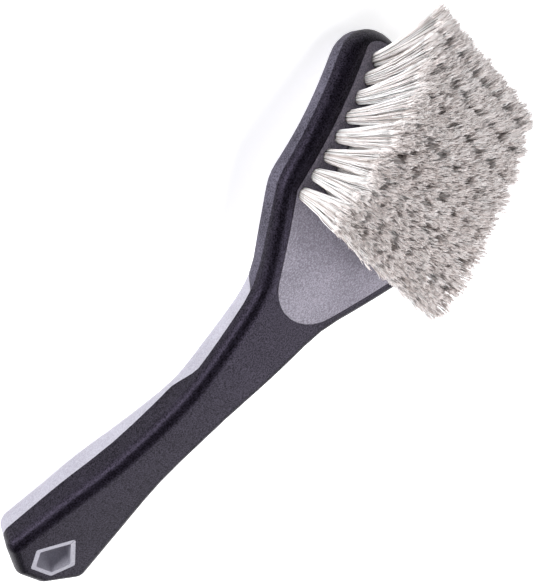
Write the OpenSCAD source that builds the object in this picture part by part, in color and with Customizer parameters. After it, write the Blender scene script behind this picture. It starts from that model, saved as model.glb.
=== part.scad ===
/* [Spine] */
// Length along the front face, from the butt to the tip of the head
body_len = 285; // [283:1:288]
// Length of the straight part of the handle
straight_len = 95; // [85:1:100]
// Bend radius of the neck and the lower half of the head
neck_r = 340; // [320:5:380]
// Length of the neck's bend along the front face
neck_len = 120; // [110:1:125]
// Bend radius of the upper half of the head
head_r = 190; // [180:5:240]
// Angle between the straight handle and the surface that the brush lies on
lie_angle = 9.5; // [9.2:0.1:9.8]

/* [Body] */
// Thickness at the butt
butt_t = 21.5; // [20:0.5:23]
// Thickness where the palm closes
palm_t = 25.5; // [24:0.5:27]
// Thickness of the neck
neck_t = 16.5; // [16:0.5:18]
// Thickness of the head
head_t = 13.4; // [12.5:0.1:14]
// Rounding of the front edges
front_r = 5.4; // [4.5:0.1:5.4]
// Rounding of the handle's back edges
back_r = 7; // [5:0.5:7]
// Rounding of the head's back edges
head_back_r = 4.5; // [4:0.5:6]
// Thickness of the soft skin over the core
skin_t = 2.2; // [1.8:0.1:3]

/* [Head] */
// Half width of the head at its shoulder
shoulder_w = 44; // [43:0.5:46]
// Half width of the head at its tip corners
tip_w = 49; // [48:0.5:50]
// Where the rear bumper begins, along the front face
bumper_s = 163; // [160:1:165]
// How far the rear bumper reaches in from the rim
bumper_w = 7.5; // [7.1:0.1:9]
// How far the back panel lies below the bumper
panel_drop = 0.8; // [0.4:0.1:1.2]

/* [Tuft plate] */
// Thickness of the plate
plate_t = 5.4; // [5:0.1:6]
// Gap all round between the plate and the soft rim
plate_gap = 0.2; // [0.1:0.05:0.3]
// Number of rows of tufts along the head
rows = 8; // [6:1:8]
// Number of tufts in a row
columns = 8; // [6:1:8]
// Distance between rows
row_pitch = 8.9; // [8.7:0.1:9]
// Distance between the tufts of a row
column_pitch = 9.4; // [9.3:0.1:9.6]
// Place of the first row, along the front face
first_row = 206; // [205:0.5:207]
// Diameter of a tuft hole
hole_d = 6; // [5:0.5:6]
// Depth of a tuft hole
hole_depth = 4.2; // [3.5:0.1:4.4]

/* [Tufts] */
// Free length of a tuft
tuft_len = 35; // [30:1:38]
// Lean of the first row towards the handle
first_lean = -8; // [-12:1:-4]
// Lean of the last row towards the tip
last_lean = 31; // [25:1:36]
// Diameter of a tuft at its tips
tuft_d = 9.1; // [8:0.1:9.2]
// Thickness of the flat wire anchors
anchor_t = 0.5; // [0.3:0.1:0.6]
// Height of the anchors above the bottom of the hole
anchor_h = 2.2; // [1.8:0.1:2.6]

/* [Hang hole] */
// Wall of the pentagonal frame
frame_w = 2; // [1.6:0.1:2.4]
// Corner radius of the frame
frame_r = 1.2; // [0.8:0.1:2]
// Corner radius of the hole
hole_r = 0.8; // [0.5:0.1:1]

/* [Hidden] */
tuft_names = [for (i = [1:rows]) str("tuft_row_", i)];
anchor_names = [for (i = [1:rows]) str("anchor_row_", i)];
$fn = 48;

run_step = 5;       // longest straight piece of an outline
arc_step = 12;      // degrees between the points of a rounded corner
edge_steps = 5;     // facets round each long outer edge
inner_steps = 2;    // facets round the core's edge under the skin
slant = 0.8;        // how the bumper's end leans towards the tip, per mm of depth
slant_reach = 24;   // how far from the bumper's end the lean dies out
end_gap = 0.6;      // seam between the handle's back and the bumper's end
clear = 3;          // how far a cutting tool stands clear of the face it cuts
root_d = 4.4;       // a leaning tuft where it starts, small enough to stay inside its hole's rim
least_gap = 0.2;    // columns closer than this become one
hang_zone = 34;     // how far the hang hole's faces reach up the sides
head_zone = 150;    // where the faces round the window begin on the sides

// Corners of the half outlines as [along the front face, half width, corner radius]
body_corners = [
  [0, 7, 6], [11, 22.4, 6], [72, 12.9, 160], [112, 12.8, 160], [166, 20.5, 45],
  [205, shoulder_w, 22], [body_len - 3, tip_w, 20]
];
plate_corners = [[163, 11.6, 20], [205.5, 37.3, 3], [276.8, 40.6, 9]];
plate_tip = 280;
frame_corners = [[7.4, 5.8], [17.2, 11.2], [29.7, 0]];

// Thickness and the depth of the parting line between skin and core, by stations
thick_at = [[0, butt_t], [55, palm_t], [122, 19.5], [172, neck_t], [240, head_t]];
back_r_at = [[12, 5], [40, back_r], [150, back_r], [205, head_back_r]];
part_at = [[0, 11], [50, 13.4], [106, 13.4], [125, 7.2], [168, 7], [215, 5.6]];

// Smooth passage through stations, level at each of them
function station(list, s, i = 0) =
  s <= list[0][0] || i == len(list) - 1 ? list[i][1]
  : s < list[i + 1][0]
  ? let (u = (s - list[i][0]) / (list[i + 1][0] - list[i][0]))
    list[i][1] + (list[i + 1][1] - list[i][1]) * u * u * (3 - 2 * u)
  : station(list, s, i + 1);

// Spine of the front face: turn in degrees, then the point at s
function turn(s) =
  let (neck = max(0, min(neck_len, s - straight_len)), head = max(0, s - straight_len - neck_len))
  (neck / neck_r + head / head_r) * 180 / PI;
function spine(s) =
  let (
    a = turn(min(s, straight_len + neck_len)), b = turn(s),
    base = [min(s, straight_len) + neck_r * sin(a), -neck_r * (1 - cos(a))]
  )
  base + head_r * [sin(b) - sin(a), cos(b) - cos(a)];
// Point at s along the front face, y across and d deep
function place(s, y, d) =
  let (p = spine(s), a = turn(s)) [p[0] - sin(a) * d, y, p[1] - cos(a) * d];

// A rounded corner c between p and q, c[2] its radius, as points
function corner_arc(p, c, q) =
  let (
    at = [c[0], c[1]], u = unit([p[0], p[1]] - at), v = unit([q[0], q[1]] - at),
    half = acos(u * v) / 2, mid = at + unit(u + v) * c[2] / sin(half),
    from = at + u * c[2] / tan(half) - mid, to = at + v * c[2] / tan(half) - mid,
    sweep = (180 - 2 * half) * sign(cross(from, to)), n = max(2, ceil(abs(sweep) / arc_step))
  )
  [for (i = [0:n]) mid + turned(from, sweep * i / n)];
function unit(v) = v / norm(v);
function turned(v, a) = [v[0] * cos(a) - v[1] * sin(a), v[0] * sin(a) + v[1] * cos(a)];
// The run from one point on the middle line through the corners to another, in short pieces
function half_outline(first, corners, last) =
  let (all = concat([first], corners, [last]))
  divided(concat(
    [first],
    [for (i = [1:len(all) - 2]) each corner_arc(all[i - 1], all[i], all[i + 1])],
    [last]
  ));
function divided(points) = concat(
  [for (i = [0:len(points) - 2])
    let (n = max(1, ceil(norm(points[i + 1] - points[i]) / run_step)))
      for (j = [0:n - 1]) points[i] + (points[i + 1] - points[i]) * j / n
  ],
  [points[len(points) - 1]]
);
// Outward direction at point i of a half outline that starts and ends on the middle line
function outward(points, i) =
  let (
    n = len(points) - 1,
    before = i == 0 ? [points[1][0], -points[1][1]] : points[i - 1],
    after = i == n ? [points[n - 1][0], -points[n - 1][1]] : points[i + 1]
  )
  turned(unit(after - before), 90);
function moved_in(points, e) = [for (i = [0:len(points) - 1]) points[i] - e * outward(points, i)];
function loop_in(c, e) =
  let (n = len(c))
  [for (i = [0:n - 1])
    let (
      a = turned(unit(c[i] - c[(i + n - 1) % n]), 90), b = turned(unit(c[(i + 1) % n] - c[i]), 90)
    )
    c[i] - e * (a + b) / (1 + a * b)
  ];
// A half outline with its mirror image; points on the middle line aren't repeated
function both_sides(points) = concat(
  points,
  [for (i = [len(points) - 1:-1:0]) if (points[i][1] > 0) [points[i][0], -points[i][1]]]
);

// A run of points as tables of its coordinates against the length along it
function lengths(points) = [
  for (i = 0, run = 0; i < len(points);
    run = run + (i + 1 < len(points) ? norm(points[i + 1] - points[i]) : 0), i = i + 1) run
];
function table(run, values, axis) = [for (i = [0:len(run) - 1]) [run[i], values[i][axis]]];
function smallest_gap(v, list) = min([for (x = list) abs(x - v)]);
function sorted(list) = len(list) <= 1 ? list : let (pivot = list[floor(len(list) / 2)]) concat(
  sorted([for (x = list) if (x < pivot) x]),
  [for (x = list) if (x == pivot) x],
  sorted([for (x = list) if (x > pivot) x])
);

// The body's half outline and, inside it, the half outlines of the frame, the hole and the window
outline = half_outline([0, 0], body_corners, [body_len, 0]);
outline_run = lengths(outline);
outline_out = [for (i = [0:len(outline) - 1]) outward(outline, i)];
body_tables = [
  table(outline_run, outline, 0), table(outline_run, outline, 1),
  table(outline_run, outline_out, 0), table(outline_run, outline_out, 1)
];
frame_rim = half_frame(0, frame_r);
hole_rim = half_frame(frame_w, hole_r);
frame_run = lengths(frame_rim);
frame_tables = [
  table(frame_run, frame_rim, 0), table(frame_run, frame_rim, 1),
  table(frame_run, hole_rim, 0), table(frame_run, hole_rim, 1)
];
window_rim = half_outline([plate_corners[0][0], 0], plate_corners, [plate_tip, 0]);
window_run = lengths(window_rim);
window_tables = [table(window_run, window_rim, 0), table(window_run, window_rim, 1)];
function half_frame(e, r) =
  let (
    loop = loop_in(both_sides(frame_corners), e), n = len(loop),
    tip = corner_arc(loop[1], [loop[2][0], loop[2][1], r], loop[3])
  )
  concat(
    [[loop[0][0], 0]],
    corner_arc(loop[n - 1], [loop[0][0], loop[0][1], r], loop[1]),
    corner_arc(loop[0], [loop[1][0], loop[1][1], r], loop[2]),
    [for (p = tip) if (p[1] > 0.01) p],
    [[max([for (p = tip) p[0]]), 0]]
  );

// Where along the outline a place s on the side lies, and the three zones of the body
function run_at(s) = lookup(s, [
  for (i = [0:len(outline) - 1]) let (at = outline[i][0])
    if (at > frame_corners[0][0] && at < plate_corners[1][0]) [at, outline_run[i]]
]);
hang_end = run_at(hang_zone);
head_start = run_at(head_zone);
full_run = outline_run[len(outline_run) - 1];
frame_scale = hang_end / frame_run[len(frame_run) - 1];
window_scale = (full_run - head_start) / window_run[len(window_run) - 1];
marks = concat(
  [for (v = frame_run) v * frame_scale],
  [for (v = window_run) head_start + v * window_scale],
  [for (side = [-0.5, 0.5]) run_at(bumper_s + side * end_gap)]
);
function before(i) = [for (k = [0:1:i - 1]) marks[k]];
column_runs = sorted(concat(
  [for (i = [0:len(marks) - 1]) if (i == 0 || smallest_gap(marks[i], before(i)) > least_gap) marks[i]],
  [for (v = outline_run) if (smallest_gap(v, marks) > least_gap) v]
));

// A column is [s, half width, outward direction, 1 past the bumper's end, zone, loop point, hole point]
HANG = 0;
MIDDLE = 1;
HEAD = 2;
function column(v) =
  let (
    s = lookup(v, body_tables[0]), w = lookup(v, body_tables[1]),
    out = unit([lookup(v, body_tables[2]), lookup(v, body_tables[3])]),
    zone = v < hang_end + 0.01 ? HANG : v < head_start - 0.01 ? MIDDLE : HEAD,
    f = v / frame_scale, p = (v - head_start) / window_scale,
    past = w < s && s > bumper_s ? 1 : 0
  )
  [
    s, w, out, past, zone,
    zone == HANG ? [lookup(f, frame_tables[0]), lookup(f, frame_tables[1])]
    : zone == HEAD ? [lookup(p, window_tables[0]), lookup(p, window_tables[1])] : [s, 0],
    zone == HANG ? [lookup(f, frame_tables[2]), lookup(f, frame_tables[3])] : [s, 0]
  ];
function mirrored(c) = [
  c[0], -c[1], [c[2][0], -c[2][1]], c[3], c[4], [c[5][0], -c[5][1]], [c[6][0], -c[6][1]]
];
half_columns = [for (v = column_runs) column(v)];
columns_all = concat(
  half_columns, [for (i = [len(half_columns) - 2:-1:1]) mirrored(half_columns[i])]
);
bumper_columns = [for (c = columns_all) if (c[3] == 1) c];

// The place e in from a column's rim and d deep; below the parting line the columns lean
function rim_place(c, e, d) =
  let (
    below = max(0, d - station(part_at, c[0])), reach = max(0, 1 - abs(c[0] - bumper_s) / slant_reach),
    lean = slant * below * reach,
    s = c[0] + lean, w = lean > 0 ? sign(c[1]) * lookup(s, side_table) : c[1]
  )
  [s - e * c[2][0], w - e * c[2][1]];
side_table = [for (p = outline) if (p[0] > hang_zone && p[0] < plate_corners[1][0]) p];
function rim_point(c, e, d) = let (p = rim_place(c, e, d)) place(p[0], p[1], d);
function loop_point(c, d) = c[4] == HEAD ? wall_point(c[5], d) : place(c[5][0], c[5][1], d);
// The window's walls stand square to the middle of the plate
function wall_point(p, d) =
  place(p[0], p[1], 0)
  - d / cos(plate_turn - turn(p[0])) * [sin(plate_turn), 0, cos(plate_turn)];
function on_middle(p) = [p[0], 0, p[2]];

// Edges of the body's sections, each a list of [inset, depth] at a column
function round_edge(r, steps) = [
  for (k = [0:steps]) let (a = 90 * k / steps) r * [1 - sin(a), 1 - cos(a)]
];
function inner_edge(c) = concat(
  [for (p = round_edge(front_r - skin_t, inner_steps)) [skin_t, skin_t] + p],
  [[skin_t, station(part_at, c[0])]]
);
function front_edge(c) = concat(round_edge(front_r, edge_steps), [[0, station(part_at, c[0])]]);
function back_edge(c) =
  let (
    r = station(back_r_at, c[0]), t = station(thick_at, c[0]),
    turned_edge = round_edge(r, edge_steps)
  )
  concat(
    [[0, station(part_at, c[0])]],
    [for (k = [edge_steps:-1:0]) [turned_edge[k][0], t - turned_edge[k][1]]]
  );
function panel_edge(c) =
  let (top = station(part_at, c[0]), bottom = station(thick_at, c[0]) - panel_drop)
  [for (k = [0:edge_steps + 1]) [bumper_w, top + (bottom - top) * k / (edge_steps + 1)]];
function edge_points(c, edge) = [for (p = edge) rim_point(c, p[0], p[1])];
function back_to_front(list) = [for (i = [len(list) - 1:-1:0]) list[i]];

// Sections of the three body pieces as closed lists of points
function grip_section(c) =
  let (first = rim_point(c, front_r, 0), inner = rim_point(c, front_r, skin_t))
  concat(
    back_to_front(edge_points(c, front_edge(c))),
    c[4] == MIDDLE ? [on_middle(first), on_middle(inner)] : [loop_point(c, 0), loop_point(c, skin_t)],
    edge_points(c, inner_edge(c))
  );
function core_section(c) =
  let (
    inner = edge_points(c, inner_edge(c)),
    outer = edge_points(c, c[3] == 1 ? panel_edge(c) : back_edge(c)),
    seat = on_middle(inner[0]), last = outer[len(outer) - 1], hole = c[6]
  )
  concat(
    c[4] == HANG ? [place(hole[0], hole[1], 0), loop_point(c, 0), loop_point(c, skin_t)]
    : c[4] == MIDDLE ? [seat, seat, seat]
    : [on_middle(wall_point(c[5], plate_t)), wall_point(c[5], plate_t), wall_point(c[5], skin_t)],
    inner, outer,
    [c[4] == HANG ? place(hole[0], hole[1], station(thick_at, hole[0])) : on_middle(last)]
  );
function bumper_section(c) = concat(
  edge_points(c, back_edge(c)), [rim_point(c, bumper_w, station(thick_at, c[0]))],
  back_to_front(edge_points(c, panel_edge(c)))
);

// A closed body swept round all columns; faces that would lie in the middle plane aren't there
module shell(sections, inside_out) {
  n = len(sections);
  m = len(sections[0]);
  points = [for (ring = sections) each ring];
  faces = [for (i = [0:n - 1], k = [0:m - 1])
    let (j = (i + 1) % n, l = (k + 1) % m, a = i * m + k, b = j * m + k, c = j * m + l, d = i * m + l)
      each [if (is_real(points, a, b, c)) [a, b, c], if (is_real(points, a, c, d)) [a, c, d]]];
  polyhedron(points, inside_out ? [for (f = faces) [f[2], f[1], f[0]]] : faces);
}
function is_real(points, a, b, c) =
  max(abs(points[a][1]), abs(points[b][1]), abs(points[c][1])) > 0.001
  && apart(points[a], points[b]) && apart(points[b], points[c]) && apart(points[c], points[a]);
function apart(p, q) = norm(p - q) > 0.0001;
// A bar along the columns whose section is a closed list, with its two ends closed
module bar(sections) {
  n = len(sections);
  m = len(sections[0]);
  half = (m - 1) / 2;
  points = [for (ring = sections) each ring];
  walls = [for (i = [0:n - 2], k = [0:m - 1])
    let (a = i * m + k, b = i * m + (k + 1) % m) each [[a, b + m, a + m], [a, b, b + m]]];
  last = (n - 1) * m;
  ends = [for (k = [0:half - 1])
    let (a = k, b = k + 1, c = m - 2 - k, d = m - 1 - k) each [
      if (b != c) [c, b, a], [d, c, a],
      if (b != c) [last + a, last + b, last + c], [last + a, last + c, last + d]
    ]];
  polyhedron(points, concat(walls, ends));
}

// The plate is a prism that stands square to its own middle, cut by a curved slab
plate_turn = turn((plate_corners[0][0] + plate_tip) / 2);
module plate_prism(gap) {
  rim = moved_in(half_outline([plate_corners[0][0], 0], plate_corners, [plate_tip, 0]), gap);
  rotate([0, plate_turn, 0]) translate([0, 0, -body_len / 2]) linear_extrude(2 * body_len)
    polygon([for (p = both_sides(rim)) let (q = turned(spine(p[0]), plate_turn)) [q[0], p[1]]]);
}
// A curved slab from one depth to another, as wide as the head
module slab(top, bottom) {
  stations = [for (s = [plate_corners[0][0] - 10:run_step:body_len + 10]) s];
  upper = [for (s = stations) let (p = place(s, 0, top)) [p[0], p[2]]];
  lower = [for (i = [len(stations) - 1:-1:0]) let (p = place(stations[i], 0, bottom)) [p[0], p[2]]];
  translate([0, 2 * tip_w, 0]) rotate([90, 0, 0]) linear_extrude(4 * tip_w)
    polygon(concat(upper, lower));
}
module plate_blank(gap, top, bottom) {
  intersection() {
    plate_prism(gap);
    slab(top, bottom);
  }
}
// Tufts stand square to the plate, row by row from the handle
function row_place(i) = first_row + row_pitch * i;
function column_place(j) = column_pitch * (j - (columns - 1) / 2);
function row_lean(i) = first_lean + (last_lean - first_lean) * i / (rows - 1);
module at_plate(s, y) {
  translate(place(s, y, 0)) rotate([0, turn(s), 0]) children();
}
module at_tufts(i) {
  for (j = [0:columns - 1]) at_plate(row_place(i), column_place(j)) children();
}
module anchor(gap) {
  translate([-anchor_t / 2, -hole_d / 2 - gap, -hole_depth])
    cube([anchor_t, hole_d + 2 * gap, anchor_h]);
}

// The brush lies on its back: laid turns it, and the frame's origin is below its middle
function laid(p) = let (q = turned([p[0], p[2]], lie_angle)) [q[0], p[1], q[1]];
body_points = [for (c = columns_all) each [for (p = edge_points(c, back_edge(c))) laid(p)]];
tuft_points = [for (i = [0:rows - 1], side = [-1, 1])
  let (s = row_place(i), a = turn(s) + row_lean(i))
  laid(place(s, 0, 0) + tuft_len * [sin(a), 0, cos(a)] + side * tuft_d / 2 * [cos(a), 0, -sin(a)])];
all_x = [for (p = concat(body_points, tuft_points)) p[0]];
middle_x = (min(all_x) + max(all_x)) / 2;
floor_z = min([for (p = body_points) p[2]]);
module lying() {
  translate([-middle_x, 0, -floor_z]) rotate([0, -lie_angle, 0]) children();
}

// Hard core: back of the handle, frame of the hang hole, backing of the head
module handle_core() {
  color("#d7d6e0") lying() shell([for (c = columns_all) core_section(c)], true);
}
// Soft skin over the front and the sides, with the front rim of the head
module grip_overmould() {
  color("#3c3945") lying() shell([for (c = columns_all) grip_section(c)], false);
}
// Soft bumper round the back of the head
module rear_bumper() {
  color("#4a4655") lying() bar([for (c = bumper_columns) bumper_section(c)]);
}
// Curved plate that carries the tufts in blind holes
module tuft_plate() {
  color("#97929f") lying() difference() {
    plate_blank(plate_gap, 0, plate_t);
    for (i = [0:rows - 1]) at_tufts(i) translate([0, 0, -hole_depth])
      cylinder(d = hole_d, h = hole_depth + clear);
  }
}
// A tuft fills its hole, and above the plate it leans and flares to its tips
module tuft(lean) {
  translate([0, 0, -hole_depth]) cylinder(d = hole_d, h = hole_depth);
  rotate([0, lean, 0]) cylinder(d1 = root_d, d2 = tuft_d, h = tuft_len);
}
// One row of tufts, each folded round its anchor in its hole
module tuft_row(i) {
  color("#d9d4d0") lying() at_tufts(i) difference() {
    tuft(row_lean(i));
    anchor(1);
  }
}
// The flat wire anchors of one row
module anchor_row(i) {
  color("silver") lying() at_tufts(i) anchor(-0.05);
}

handle_core();
grip_overmould();
rear_bumper();
tuft_plate();
for (i = [0:rows - 1]) {
  tuft_row(i);
  anchor_row(i);
}
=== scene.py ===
# %% [markdown]
# # A wheel brush
# A short brush for washing wheels. A hard polypropylene core runs from the butt to the head,
# a soft black skin is moulded over its front and sides, and a soft bumper goes round the back
# of the head. A grey plate closes the front of the head and holds eight rows of eight tufts.
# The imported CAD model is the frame: this lesson finishes its surfaces and grows its bristles.

# %% Load the frame
import math

import bmesh
import bpy
import numpy as np
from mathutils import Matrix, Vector


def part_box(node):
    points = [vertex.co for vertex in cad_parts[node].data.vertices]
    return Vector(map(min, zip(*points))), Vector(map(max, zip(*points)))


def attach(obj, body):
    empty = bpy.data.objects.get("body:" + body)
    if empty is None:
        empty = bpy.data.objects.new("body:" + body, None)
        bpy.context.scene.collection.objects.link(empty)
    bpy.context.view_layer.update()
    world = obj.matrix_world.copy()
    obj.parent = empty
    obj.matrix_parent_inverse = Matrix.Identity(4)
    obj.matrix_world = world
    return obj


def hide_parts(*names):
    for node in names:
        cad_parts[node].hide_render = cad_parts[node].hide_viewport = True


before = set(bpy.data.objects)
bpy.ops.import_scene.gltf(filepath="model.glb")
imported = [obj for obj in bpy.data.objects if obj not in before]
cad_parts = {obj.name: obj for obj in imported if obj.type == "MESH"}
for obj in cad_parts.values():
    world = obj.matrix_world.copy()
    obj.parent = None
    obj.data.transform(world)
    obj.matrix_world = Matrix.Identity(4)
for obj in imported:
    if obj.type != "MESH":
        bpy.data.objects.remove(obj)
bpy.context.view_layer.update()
MM = 0.001

# %% [markdown]
# ## Camera
# The brush lies on its back, and the camera looks down on it from the side of the head,
# rolled over so that the handle runs from the lower left to the head at the upper right.
# A camera can be placed with a Track To constraint, but a constraint can't say how far it is
# rolled. So its three axes are worked out from an azimuth, an elevation and a roll.

# %% Camera
AZIMUTH = math.radians(83.58)
ELEVATION = math.radians(48.27)
ROLL = math.radians(134.41)
DISTANCE = 474.1 * MM
AIM = Vector((14.2, 0, 18.4)) * MM
LENS_MM = 69.2
SENSOR_MM = 36
NEAREST_MM = 10

back = Vector((
    math.cos(ELEVATION) * math.cos(AZIMUTH),
    math.cos(ELEVATION) * math.sin(AZIMUTH),
    math.sin(ELEVATION),
))
level = Vector((-math.sin(AZIMUTH), math.cos(AZIMUTH), 0))
over = back.cross(level)
right = level * math.cos(ROLL) + over * math.sin(ROLL)
up = over * math.cos(ROLL) - level * math.sin(ROLL)

camera_data = bpy.data.cameras.new("camera")
camera_data.lens = LENS_MM
camera_data.sensor_width = SENSOR_MM
camera_data.clip_start = NEAREST_MM * MM
camera = bpy.data.objects.new("camera", camera_data)
bpy.context.scene.collection.objects.link(camera)
for axis in range(3):
    place = AIM[axis] + back[axis] * DISTANCE
    camera.matrix_world[axis] = (right[axis], up[axis], back[axis], place)
bpy.context.scene.camera = camera
print("camera at", [round(v, 4) for v in camera.matrix_world.translation])

# %% [markdown]
# ## Colour and nodes
# Colours are written as sRGB hex values, as a paint chart gives them. Blender computes with
# linear light, so one function turns them. A second helper adds a node to a material, sets its
# values and links its inputs. A third starts a material. Every finish below is built with them.

# %% Helpers for materials
def linear(hex_colour):
    """Turns an sRGB hex value into the linear colour that shaders use."""
    parts = [int(hex_colour[i:i + 2], 16) / 255 for i in (1, 3, 5)]
    return [c / 12.92 if c <= 0.04045 else ((c + 0.055) / 1.055) ** 2.4 for c in parts] + [1]


def add_node(material, kind, links=None, values=None, **settings):
    """Adds a node; links go from its sockets to others' outputs, values set its sockets."""
    node = material.node_tree.nodes.new(kind)
    for name, value in settings.items():
        setattr(node, name, value)
    for socket, value in (values or {}).items():
        node.inputs[socket].default_value = value
    for socket, source in (links or {}).items():
        material.node_tree.links.new(node.inputs[socket], source)
    return node


def new_material(name, **values):
    """A material with a Principled shader whose constant values are set on its sockets."""
    material = bpy.data.materials.new(name)
    material.use_nodes = True
    shader = material.node_tree.nodes["Principled BSDF"]
    for socket, value in values.items():
        shader.inputs[socket.replace("_", " ")].default_value = value
    return material, shader


print("a mid grey is", round(linear("#808080")[0], 3), "in linear light")

# %% [markdown]
# ## Moulded plastic
# All the hard and soft parts are injection moulded in a steel mould whose walls were spark
# eroded. That leaves a fine matt grain, which catches the light as speckles. Its pits are about
# a third of a millimetre across on a real brush. They are drawn here at 0.6 to 0.65 mm, which
# is coarser, so that they still show from where the camera is. Under the grain lies a slower
# waviness, where the wall cooled unevenly. Pits reflect less than the flats between them, so
# the grain sets how strongly the surface reflects, as well as its tint, gloss and height. The
# average reflection is set on the shader's own socket too, where it counts once the pattern is
# unlinked. An image could hold both patterns, but noise in the object's own coordinates needs
# no unwrapping and has the same size on every piece. One function makes the grain, and each
# plastic sets its own.

# %% Moulded grain
SWAY_SHARE = 0.45
MIDDLE = 0.5 + SWAY_SHARE / 2
GLOSS_SPAN = (0.3, 0.7)
SHEEN_SPAN = (0.35, 0.65)


def moulded(
    name, dark, light, contrast, grain_mm, depth_mm, sway_mm, rough, sheen, **values
):
    """Moulded plastic: its colours, its grain and waviness, and the spans of gloss and sheen."""
    material, shader = new_material(name, Specular_IOR_Level=sum(sheen) / 2, **values)
    where = add_node(material, "ShaderNodeTexCoord").outputs["Object"]
    grain = add_node(
        material, "ShaderNodeTexNoise", {"Vector": where},
        {"Scale": 1 / (grain_mm * MM), "Detail": 2, "Roughness": 0.6},
    ).outputs["Fac"]
    sway = add_node(
        material, "ShaderNodeTexNoise", {"Vector": where},
        {"Scale": 1 / (sway_mm * MM), "Detail": 3, "Roughness": 0.5},
    ).outputs["Fac"]
    slow = add_node(
        material, "ShaderNodeMath", {0: sway}, {1: SWAY_SHARE}, operation="MULTIPLY"
    ).outputs["Value"]
    both = add_node(
        material, "ShaderNodeMath", {0: grain, 1: slow}, operation="ADD"
    ).outputs["Value"]
    tint = add_node(
        material, "ShaderNodeMapRange", {"Value": both},
        {"From Min": MIDDLE - contrast, "From Max": MIDDLE + contrast},
    ).outputs["Result"]
    colour = add_node(
        material, "ShaderNodeMix", {"Factor": tint},
        {6: linear(dark), 7: linear(light)}, data_type="RGBA",
    )
    gloss = add_node(
        material, "ShaderNodeMapRange", {"Value": grain},
        {"From Min": GLOSS_SPAN[0], "From Max": GLOSS_SPAN[1],
         "To Min": rough[0], "To Max": rough[1]},
    ).outputs["Result"]
    reflection = add_node(
        material, "ShaderNodeMapRange", {"Value": grain},
        {"From Min": SHEEN_SPAN[0], "From Max": SHEEN_SPAN[1],
         "To Min": sheen[0], "To Max": sheen[1]},
    ).outputs["Result"]
    bump = add_node(
        material, "ShaderNodeBump", {"Height": grain}, {"Distance": depth_mm * MM}
    ).outputs["Normal"]
    links = material.node_tree.links
    links.new(shader.inputs["Specular IOR Level"], reflection)
    links.new(shader.inputs["Base Color"], colour.outputs[2])
    links.new(shader.inputs["Roughness"], gloss)
    links.new(shader.inputs["Normal"], bump)
    return material


print("the tint turns over where grain and waviness add up to", MIDDLE)

# %% [markdown]
# ### The four plastics
# The core is polypropylene in a light, cool grey, with a satin surface. The plate is the same
# plastic in a darker grey. The skin and the bumper are thermoplastic elastomer, a rubbery
# plastic. The skin is nearly black, and shows hardly more than what it reflects, with a faint
# violet cast. The bumper is a greyer and duller grade. Both kinds of plastic have an IOR of
# about 1.5, and the elastomer has the deeper grain.

# %% Plastics
core_plastic = moulded(
    "moulded_polypropylene_light_grey", "#8f8d98", "#aba9b5", contrast=0.2, grain_mm=0.6,
    depth_mm=0.03, sway_mm=30, rough=(0.42, 0.55), sheen=(0.4, 0.6), IOR=1.49,
)
plate_plastic = moulded(
    "moulded_polypropylene_grey", "#605b69", "#8d8896", contrast=0.15, grain_mm=0.65,
    depth_mm=0.05, sway_mm=30, rough=(0.48, 0.62), sheen=(0.35, 0.65), IOR=1.49,
)
skin_rubber = moulded(
    "moulded_elastomer_black", "#020103", "#17141c", contrast=0.14, grain_mm=0.6,
    depth_mm=0.06, sway_mm=25, rough=(0.32, 0.45), sheen=(0.07, 0.4), IOR=1.5,
    Specular_Tint=linear("#dccdf6"),
)
bumper_rubber = moulded(
    "moulded_elastomer_bumper", "#27252d", "#5e5b69", contrast=0.2, grain_mm=0.65,
    depth_mm=0.06, sway_mm=25, rough=(0.5, 0.64), sheen=(0.15, 0.5), IOR=1.5,
    Specular_Tint=linear("#e2d8f4"),
)
print("plastics:", [m.name for m in (core_plastic, plate_plastic, skin_rubber, bumper_rubber)])

# %% [markdown]
# ## Moulded parts
# The CAD solids have the right shape, but as packed every triangle stands alone, so each one
# would show as a flat facet. Here each moulded part becomes a mesh of its own in the same
# place: points that lie on each other are welded, slivers are dissolved, triangles are joined
# into quads, gentle bends are shaded smooth and real edges stay sharp. A small bevel breaks the
# sharp edges, as a mould does, so that a fine groove shows where two parts meet. It is clamped
# where edges are short, which they aren't on the bumper. Weighted normals keep flats flat. A
# subdivision surface would round the parting lines too, so it isn't used.

# %% Make a moulded part from its solid
WELD = 0.002 * MM
SLIVER = 0.03 * MM
FLAT_WITHIN = math.radians(1.5)
SQUARE_WITHIN = math.radians(60)
SMOOTH_BELOW = math.radians(32)
BREAK_ABOVE = math.radians(50)


def mould_part(node, name, material, edge_mm, clamped=True):
    """A welded, smoothly shaded mesh of one CAD node, which it replaces."""
    shape = bmesh.new()
    shape.from_mesh(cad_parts[node].data)
    bmesh.ops.remove_doubles(shape, verts=shape.verts, dist=WELD)
    bmesh.ops.dissolve_degenerate(shape, edges=shape.edges, dist=SLIVER)
    bmesh.ops.join_triangles(
        shape, faces=shape.faces, angle_face_threshold=FLAT_WITHIN,
        angle_shape_threshold=SQUARE_WITHIN,
    )
    mesh = bpy.data.meshes.new(name)
    shape.to_mesh(mesh)
    shape.free()
    mesh.shade_smooth()
    mesh.set_sharp_from_angle(angle=SMOOTH_BELOW)
    mesh.materials.append(material)
    piece = bpy.data.objects.new(name, mesh)
    bpy.context.scene.collection.objects.link(piece)
    break_edges = piece.modifiers.new("broken edges", "BEVEL")
    break_edges.width = edge_mm * MM
    break_edges.segments = 2
    break_edges.limit_method = "ANGLE"
    break_edges.angle_limit = BREAK_ABOVE
    break_edges.use_clamp_overlap = clamped
    weights = piece.modifiers.new("keep flats flat", "WEIGHTED_NORMAL")
    weights.keep_sharp = True
    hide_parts(node)
    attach(piece, "root")
    print(name, "has", len(mesh.polygons), "faces")


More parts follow.
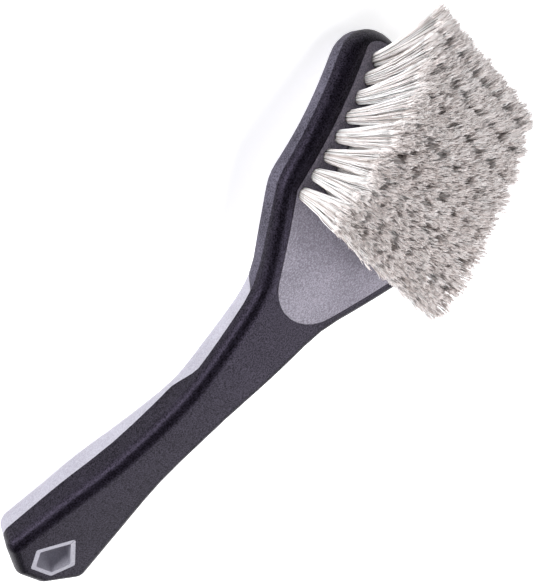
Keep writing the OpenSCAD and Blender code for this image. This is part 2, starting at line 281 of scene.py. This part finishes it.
FINE_EDGE_MM = 0.25
BUMPER_EDGE_MM = 0.45
mould_part("handle_core", "core_moulding", core_plastic, FINE_EDGE_MM)
mould_part("grip_overmould", "skin_moulding", skin_rubber, FINE_EDGE_MM)
mould_part(
    "rear_bumper", "bumper_moulding", bumper_rubber, BUMPER_EDGE_MM,
    clamped=False,
)
mould_part("tuft_plate", "plate_moulding", plate_plastic, FINE_EDGE_MM)

# %% [markdown]
# ## Anchors
# Each tuft is folded in half round a short piece of flat steel wire, which is driven into the
# bottom of its hole. The wire is drawn through a die, and that leaves fine scratches along it.
# The anchors are sealed in under the tufts, so the CAD nodes stay as they are, with drawn
# steel on them: noise stretched along the wire gives the scratches.

# %% Drawn wire
wire, wire_shader = new_material("drawn_steel_wire", Metallic=1.0)
wire_where = add_node(wire, "ShaderNodeTexCoord").outputs["Object"]
DRAW_LINE_MM = 0.05
DRAW_RUN_MM = 2.5
DRAW_DEPTH_MM = 0.004
stretched = add_node(
    wire, "ShaderNodeMapping", {"Vector": wire_where},
    {"Scale": (1 / (DRAW_LINE_MM * MM), 1 / (DRAW_RUN_MM * MM), 1 / (DRAW_LINE_MM * MM))},
).outputs["Vector"]
scratches = add_node(
    wire, "ShaderNodeTexNoise", {"Vector": stretched}, {"Scale": 1, "Detail": 3}
).outputs["Fac"]
steel = add_node(
    wire, "ShaderNodeMix", {"Factor": scratches},
    {6: linear("#b4b2ae"), 7: linear("#d0cec9")}, data_type="RGBA",
)
wire_gloss = add_node(
    wire, "ShaderNodeMapRange", {"Value": scratches}, {"To Min": 0.22, "To Max": 0.45}
).outputs["Result"]
wire_bump = add_node(
    wire, "ShaderNodeBump", {"Height": scratches}, {"Distance": DRAW_DEPTH_MM * MM}
).outputs["Normal"]
wire.node_tree.links.new(wire_shader.inputs["Base Color"], steel.outputs[2])
wire.node_tree.links.new(wire_shader.inputs["Roughness"], wire_gloss)
wire.node_tree.links.new(wire_shader.inputs["Normal"], wire_bump)

ROWS = 8
for row in range(1, ROWS + 1):
    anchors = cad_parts[f"anchor_row_{row}"]
    anchors.data.materials.clear()
    anchors.data.materials.append(wire)
print("anchors finished in", ROWS, "rows")

# %% [markdown]
# ## Where the tufts stand
# The front face of the head is an arc, and the tufts stand on it in eight rows of eight. The
# frame's boxes give no curve, so the arc is drawn again here from the same few dimensions as
# the CAD model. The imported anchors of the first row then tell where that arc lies.

# %% The head's front face
STRAIGHT, NECK, NECK_R, HEAD_R = 95, 120, 340, 190
LIE_ANGLE = math.radians(9.5)
FIRST_ROW, ROW_PITCH = 206, 8.9
COLUMNS, COLUMN_PITCH = 8, 9.4
TUFT_LENGTH = 35
FIRST_LEAN, LAST_LEAN = math.radians(-8), math.radians(31)


def turn(s):
    """How far the face has turned down at s mm along it from the butt."""
    return min(max(s - STRAIGHT, 0), NECK) / NECK_R + max(s - STRAIGHT - NECK, 0) / HEAD_R


def along_face(s):
    """The point at s mm along the middle of the face, before the brush is laid down."""
    a, b = turn(min(s, STRAIGHT + NECK)), turn(s)
    x = min(s, STRAIGHT) + NECK_R * math.sin(a) + HEAD_R * (math.sin(b) - math.sin(a))
    z = NECK_R * (math.cos(a) - 1) + HEAD_R * (math.cos(b) - math.cos(a))
    return x, z


def laid(x, z):
    """Turns a point onto the floor, about the butt's front edge."""
    c, s = math.cos(LIE_ANGLE), math.sin(LIE_ANGLE)
    return x * c - z * s, x * s + z * c


def tuft_rows():
    """For each row: its root in X and Z, how far the face is tilted there, and its lean."""
    found = []
    for i in range(ROWS):
        s = FIRST_ROW + ROW_PITCH * i
        lean = FIRST_LEAN + (LAST_LEAN - FIRST_LEAN) * i / (ROWS - 1)
        found.append((laid(*along_face(s)), turn(s) - LIE_ANGLE, lean))
    return found


rows = tuft_rows()
low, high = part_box("anchor_row_1")
HOLE_DEPTH = 4.2
ANCHOR_HEIGHT = 2.2
root, tilt, _ = rows[0]
middle_depth = HOLE_DEPTH - ANCHOR_HEIGHT / 2
shift_x = (low.x + high.x) / 2 / MM - (root[0] - middle_depth * math.sin(tilt))
shift_z = (low.z + high.z) / 2 / MM - (root[1] - middle_depth * math.cos(tilt))
print("the butt's front edge lies at", round(shift_x, 2), round(shift_z, 2), "mm")

# %% [markdown]
# ## Bristles
# A tuft is several hundred filaments of drawn polymer, folded in half into its hole. They leave
# the hole as a tight bundle, spread out as they rise, and their ends are flagged: split by
# knives into soft hairs that cling together in small clumps. A hair system could draw them, but
# its hairs aren't a mesh. So each filament is a thin three-sided tube along a curve, and each of
# its flags is a short one that carries on from its end. Real filaments are about 0.2 mm thick
# and their flags are finer still. Here there are fewer and they are thicker, about 0.3 mm, so
# that single strands show from where the camera is. NumPy makes a whole row at once.

# %% Tubes along many curves at once
SIDES = 3
OFF_AXIS = np.array([0.31, 0.87, 0.38])


def tubes(paths, radii, shades, tip_end):
    """Meshes many paths (n, k, 3) as tubes that share no points, with k radii for each.

    Each tube has one shade, and a tip value that runs from 0 at its start to tip_end.
    """
    n, k, _ = paths.shape
    along = np.gradient(paths, axis=1)
    along /= np.linalg.norm(along, axis=2, keepdims=True)
    side = np.cross(along, OFF_AXIS)
    side /= np.linalg.norm(side, axis=2, keepdims=True)
    other = np.cross(along, side)
    rings = []
    for corner in range(SIDES):
        angle = 2 * math.pi * corner / SIDES
        rings.append(side * math.cos(angle) + other * math.sin(angle))
    points = paths[:, :, None, :] + np.stack(rings, axis=2) * radii[None, :, None, None]
    base = (np.arange(n) * k * SIDES)[:, None, None]
    step = (np.arange(k - 1) * SIDES)[None, :, None]
    corner = np.arange(SIDES)[None, None, :]
    a = base + step + corner
    b = base + step + (corner + 1) % SIDES
    quads = np.stack([a, b, b + SIDES, a + SIDES], axis=-1).reshape(-1, 4)
    first = base[:, 0, :] + np.arange(SIDES)
    last = first + SIDES * (k - 1)
    caps = np.concatenate([first[:, ::-1], last])
    shade = np.broadcast_to(shades[:, None, None], (n, k, SIDES))
    tip = np.broadcast_to(np.linspace(0, tip_end, k)[None, :, None], (n, k, SIDES))
    return points.reshape(-1, 3), quads, caps, shade.reshape(-1), tip.reshape(-1)


print("each tube has", SIDES, "sides")

# %% One mesh from several sets of tubes
def tube_mesh(name, parts):
    """Joins several sets of tubes into one mesh, with their shade and tip as attributes."""
    points, loops, starts, shades, tips = [], [], [], [], []
    offset, corner = 0, 0
    for co, quads, caps, shade, tip in parts:
        for faces in (quads, caps):
            loops.append((faces + offset).reshape(-1))
            starts.append(corner + np.arange(len(faces)) * faces.shape[1])
            corner += faces.size
        points.append(co)
        shades.append(shade)
        tips.append(tip)
        offset += len(co)
    co = np.concatenate(points)
    loop, start = np.concatenate(loops), np.concatenate(starts)
    mesh = bpy.data.meshes.new(name)
    mesh.vertices.add(len(co))
    mesh.vertices.foreach_set("co", (co * MM).astype(np.float32).reshape(-1))
    mesh.loops.add(len(loop))
    mesh.loops.foreach_set("vertex_index", loop.astype(np.int32))
    mesh.polygons.add(len(start))
    mesh.polygons.foreach_set("loop_start", start.astype(np.int32))
    mesh.update(calc_edges=True)
    for label, values in (("shade", shades), ("tip", tips)):
        attribute = mesh.attributes.new(label, "FLOAT", "POINT")
        attribute.data.foreach_set("value", np.concatenate(values).astype(np.float32))
    mesh.shade_smooth()
    return mesh


print("a row's tubes become one mesh, with two values at every point")

# %% [markdown]
# ### Filament finish
# The filaments are a white polymer, dull rather than glassy, and no two take the light alike:
# some look white, some grey, and some a warm taupe. Each has its own shade, carried as an
# attribute of the mesh, and a colour ramp turns it into a colour. A second attribute runs from
# the root to the tips, where the split ends are rougher and slightly greyer.

# %% Filament material
filament, filament_shader = new_material("drawn_polymer_filament", IOR=1.5)
shade = add_node(
    filament, "ShaderNodeAttribute", attribute_name="shade", attribute_type="GEOMETRY"
).outputs["Fac"]
tip = add_node(
    filament, "ShaderNodeAttribute", attribute_name="tip", attribute_type="GEOMETRY"
).outputs["Fac"]
ramp = add_node(filament, "ShaderNodeValToRGB", {"Fac": shade})
for position, colour in ((0.15, "#a89c96"), (0.35, "#dfd6d3"), (0.7, "#faf4f3")):
    stop = ramp.color_ramp.elements.new(position)
    stop.color = linear(colour)
ramp.color_ramp.elements[0].color = linear("#6b605b")
ramp.color_ramp.elements[-1].color = linear("#ffffff")
FLECK_MM = 1.2
FLECK_DEPTH_MM = 0.02
flecks = add_node(
    filament, "ShaderNodeTexNoise",
    {"Vector": add_node(filament, "ShaderNodeTexCoord").outputs["Object"]},
    {"Scale": 1 / (FLECK_MM * MM), "Detail": 2},
).outputs["Fac"]
dulled = add_node(
    filament, "ShaderNodeMath", {0: tip, 1: flecks}, operation="MULTIPLY"
).outputs["Value"]
ends = add_node(
    filament, "ShaderNodeMix", {"Factor": dulled, 6: ramp.outputs["Color"]},
    {7: linear("#efe6e4")}, data_type="RGBA",
)
filament_gloss = add_node(
    filament, "ShaderNodeMapRange", {"Value": tip}, {"To Min": 0.42, "To Max": 0.7}
).outputs["Result"]
filament_bump = add_node(
    filament, "ShaderNodeBump", {"Height": flecks}, {"Distance": FLECK_DEPTH_MM * MM}
).outputs["Normal"]
filament.node_tree.links.new(filament_shader.inputs["Base Color"], ends.outputs[2])
filament.node_tree.links.new(filament_shader.inputs["Roughness"], filament_gloss)
filament.node_tree.links.new(filament_shader.inputs["Normal"], filament_bump)
print("made", filament.name)

# %% [markdown]
# ### Growing a row
# A filament starts a little way down its hole. It first follows the tuft, which stands almost
# square to the plate, then bends over to the tuft's lean and its own place in the spread. So
# its curve is a quadratic one with three points: the root, a point above it, and the tip. The
# ends are trimmed to one smooth field, give or take about a millimetre. Every filament's tip is
# drawn part of the way to the middle of the nearest clump, which opens dark gaps between them.

# %% Directions of a row
ACROSS = np.array([0, 1, 0])


def upward(angle):
    """Straight up, tipped by an angle towards the tip of the head."""
    return np.array([math.sin(angle), 0, math.cos(angle)])


def forward(angle):
    """Square to upward, towards the tip of the head."""
    return np.array([math.cos(angle), 0, -math.sin(angle)])


print("the first row stands along", upward(rows[0][1] + rows[0][2]).round(3))

# %% Clumps
FILAMENTS = 220
CLUMPS = 34
CLUMP_PULL = 0.5
CLUMP_HEIGHT_MM = 0.7
CLUMP_SHADE = 0.18


def clumps(u, v, random):
    """For each filament: where its clump's middle is, and its clump's own height and shade."""
    angle = random.uniform(0, 2 * math.pi, (COLUMNS, CLUMPS))
    reach = np.sqrt(random.uniform(0, 1, (COLUMNS, CLUMPS)))
    middle_u, middle_v = reach * np.cos(angle), reach * np.sin(angle)
    away_u = u.reshape(COLUMNS, -1, 1) - middle_u[:, None]
    away_v = v.reshape(COLUMNS, -1, 1) - middle_v[:, None]
    nearest = np.argmin(away_u ** 2 + away_v ** 2, axis=2)
    height = random.normal(0, CLUMP_HEIGHT_MM, (COLUMNS, CLUMPS))
    shade = random.normal(0, CLUMP_SHADE, (COLUMNS, CLUMPS))
    values = (middle_u, middle_v, height, shade)
    return [np.take_along_axis(value, nearest, axis=1).reshape(-1) for value in values]


print("a clump holds about", round(FILAMENTS / CLUMPS, 1), "filaments")

# %% [markdown]
# Lengths below are in millimetres. SPLAY moves the outer columns' tips outward, FAN lowers the
# tips that spread furthest, and TRIM is how unevenly they are cut. RISE is how far up the tuft
# its filaments bend, and AXIS_LEAN is how much of the lean they have by then. Shades run from
# 0 to 1 along the colour ramp, and one filament in seven is a dark one.

# %% Filaments of a row
ROOT_SPREAD = 2.6
START_DEPTH = 1.2
TIP_SPREAD_ALONG, TIP_SPREAD_ACROSS = 7.6, 5.8
SPLAY = 2.4
FAN = 0.13
TRIM = 0.8
TIP_DRIFT, TUFT_DRIFT = 0.45, 0.7
RISE, AXIS_LEAN = 0.42, 0.45
BEND_ALONG, BEND_ACROSS = 1.6, 1.4
FLAG_LENGTH = 5
STEM_POINTS = 6
WOBBLE = 0.12
SHADE, SHADE_SPREAD = 0.76, 0.26
DARK_SHARE, DARK_SHADE = 0.14, 0.3


def grow_filaments(i, random):
    """The curves (n, k, 3) and the shades of all the filaments of row i."""
    (x, z), tilt, lean = rows[i]
    origin = np.array([x + shift_x, 0, z + shift_z])
    flat = forward(tilt)
    count = COLUMNS * FILAMENTS
    column = np.repeat(np.arange(COLUMNS) - (COLUMNS - 1) / 2, FILAMENTS)
    angle = random.uniform(0, 2 * math.pi, count)
    reach = np.sqrt(random.uniform(0, 1, count))
    u, v = reach * np.cos(angle), reach * np.sin(angle)
    root = (
        origin + np.outer(u * ROOT_SPREAD, flat)
        + np.outer(column * COLUMN_PITCH + v * ROOT_SPREAD, ACROSS)
        - upward(tilt) * START_DEPTH
    )
    clump_u, clump_v, clump_height, clump_shade = clumps(u, v, random)
    length = TUFT_LENGTH - np.abs(random.normal(0, TRIM, count) + clump_height)
    drift = random.normal(0, TIP_DRIFT, (count, 2))
    tuft_drift = np.repeat(random.normal(0, TUFT_DRIFT, (COLUMNS, 2)), FILAMENTS, axis=0)
    end_u = u + (clump_u - u) * CLUMP_PULL
    end_v = v + (clump_v - v) * CLUMP_PULL
    outward = column / COLUMNS
    tip_u = end_u * TIP_SPREAD_ALONG + drift[:, 0] + tuft_drift[:, 0]
    tip_v = end_v * TIP_SPREAD_ACROSS + outward * SPLAY + drift[:, 1] + tuft_drift[:, 1]
    top = (
        origin + np.outer(length * np.sqrt(1 - (FAN * reach) ** 2), upward(tilt + lean))
        + np.outer(tip_u, forward(tilt + lean))
        + np.outer(column * COLUMN_PITCH + tip_v, ACROSS)
    )
    bend = (
        root + upward(tilt + AXIS_LEAN * lean) * RISE * TUFT_LENGTH
        + np.outer(u * BEND_ALONG, flat) + np.outer(v * BEND_ACROSS, ACROSS)
    )
    t = np.linspace(0, 1, STEM_POINTS)[None, :, None] * (1 - FLAG_LENGTH / TUFT_LENGTH)
    curves = (
        root[:, None] * (1 - t) ** 2 + bend[:, None] * 2 * t * (1 - t) + top[:, None] * t ** 2
    )
    wave = random.normal(0, WOBBLE, curves.shape)
    wave[:, :2] = 0
    shades = np.clip(random.normal(SHADE, SHADE_SPREAD, count) + clump_shade, 0, 1)
    dark = random.uniform(0, 1, count) < DARK_SHARE
    return curves + wave, np.where(dark, shades * DARK_SHADE, shades)


print("each tuft has", FILAMENTS, "filaments of up to", TUFT_LENGTH, "mm")

# %% Flags at the filaments' ends
FLAGS = 2
FIRST_BEND, SECOND_BEND = 0.07, 0.15
SHORTEST, LONGEST = 0.72, 1.08
FLAG_SHADE_SPREAD = 0.26


def grow_flags(curves, shades, random):
    """The curves and the shades of the flags, which carry on from the filaments' ends."""
    heading = curves[:, -1] - curves[:, -2]
    heading /= np.linalg.norm(heading, axis=1, keepdims=True)
    heading = np.repeat(heading, FLAGS, axis=0)
    ends = np.repeat(curves[:, -1], FLAGS, axis=0)
    count = len(ends)
    first = heading + random.normal(0, FIRST_BEND, (count, 3))
    second = heading + random.normal(0, SECOND_BEND, (count, 3))
    half = FLAG_LENGTH * random.uniform(SHORTEST, LONGEST, count)[:, None] * 0.5
    paths = np.stack([ends, ends + first * half, ends + (first + second) * half], axis=1)
    spread = random.normal(0, FLAG_SHADE_SPREAD, count)
    return paths, np.clip(np.repeat(shades, FLAGS) + spread, 0, 1)


print("each filament ends in", FLAGS, "flags")

# %% Grow the rows
FILAMENT_R, FLAG_R = 0.16, 0.16
FLAG_TAPER = np.array([0.85, 1.0, 0.55])
random = np.random.default_rng(7)
for i in range(ROWS):
    curves, shades = grow_filaments(i, random)
    flags, flag_shades = grow_flags(curves, shades, random)
    name = f"bristle_row_{i + 1}"
    mesh = tube_mesh(name, [
        tubes(curves, FILAMENT_R * np.ones(STEM_POINTS), shades, 0),
        tubes(flags, FLAG_R * FLAG_TAPER, flag_shades, 1),
    ])
    mesh.materials.append(filament)
    bristles = bpy.data.objects.new(name, mesh)
    bpy.context.scene.collection.objects.link(bristles)
    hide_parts(f"tuft_row_{i + 1}")
    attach(bristles, "root")
print("bristles:", ROWS * COLUMNS, "tufts,", len(mesh.polygons), "faces in the last row")

# %% [markdown]
# ## Floor
# The brush lies on a plain pale surface that glows faintly, as the top of a light table does,
# which keeps its shadow soft. It isn't part of the object.

# %% Floor
FLOOR_SIZE = 6
FLOOR_GLOW = 0.6
floor_mesh = bpy.data.meshes.new("floor")
half = FLOOR_SIZE / 2
floor_mesh.from_pydata(
    [(-half, -half, 0), (half, -half, 0), (half, half, 0), (-half, half, 0)], [], [(0, 1, 2, 3)]
)
floor_paint, _ = new_material(
    "floor_paint", Base_Color=linear("#f4f4f6"), Roughness=0.9,
    Emission_Color=linear("#ffffff"), Emission_Strength=FLOOR_GLOW,
)
floor_mesh.materials.append(floor_paint)
floor = bpy.data.objects.new("floor", floor_mesh)
bpy.context.scene.collection.objects.link(floor)
print("the floor is", FLOOR_SIZE, "m wide")

# %% [markdown]
# ## Light
# Black rubber shows hardly any colour of its own. What the eye sees on it is the reflection of
# bright things round it, so the lights are placed by what each face mirrors to the camera. The
# handle's face mirrors a softbox that stands beyond the brush. Its sides mirror the pale floor.
# The rounded edge between them mirrors the room behind the camera, which is darker, and so a
# dark line runs along that edge. A softbox above and one low on the near side light the
# bristles.

# %% Softboxes
def softbox(name, towards, distance, width, height, power):
    """A rectangular lamp in one direction from the brush, facing it."""
    lamp = bpy.data.lights.new(name, "AREA")
    lamp.shape = "RECTANGLE"
    lamp.size = width
    lamp.size_y = height
    lamp.energy = power
    box = bpy.data.objects.new(name, lamp)
    direction = Vector(towards).normalized()
    box.location = direction * distance
    box.rotation_euler = direction.to_track_quat("Z", "Y").to_euler()
    bpy.context.scene.collection.objects.link(box)
    print(name, "stands at", [round(v, 2) for v in box.location], "m")


softbox("softbox_beyond", (-0.14, -0.72, 0.66), distance=1.1, width=1.6, height=0.7, power=12.5)
softbox("softbox_above", (0.1, -0.25, 0.96), distance=1.2, width=1.0, height=0.6, power=10)
softbox("softbox_near", (-0.2, 0.95, 0.2), distance=1.0, width=0.9, height=0.35, power=10.5)

# %% The room
ROOM_LIGHT = 0.1
world = bpy.data.worlds.new("studio")
world.use_nodes = True
room = world.node_tree.nodes["Background"]
room.inputs["Color"].default_value = linear("#f2f4f8")
room.inputs["Strength"].default_value = ROOM_LIGHT
bpy.context.scene.world = world
bpy.context.scene.view_settings.view_transform = "Standard"
print("the room gives", ROOM_LIGHT, "of a white sky's light")

# %% Update the scene
bpy.context.view_layer.update()
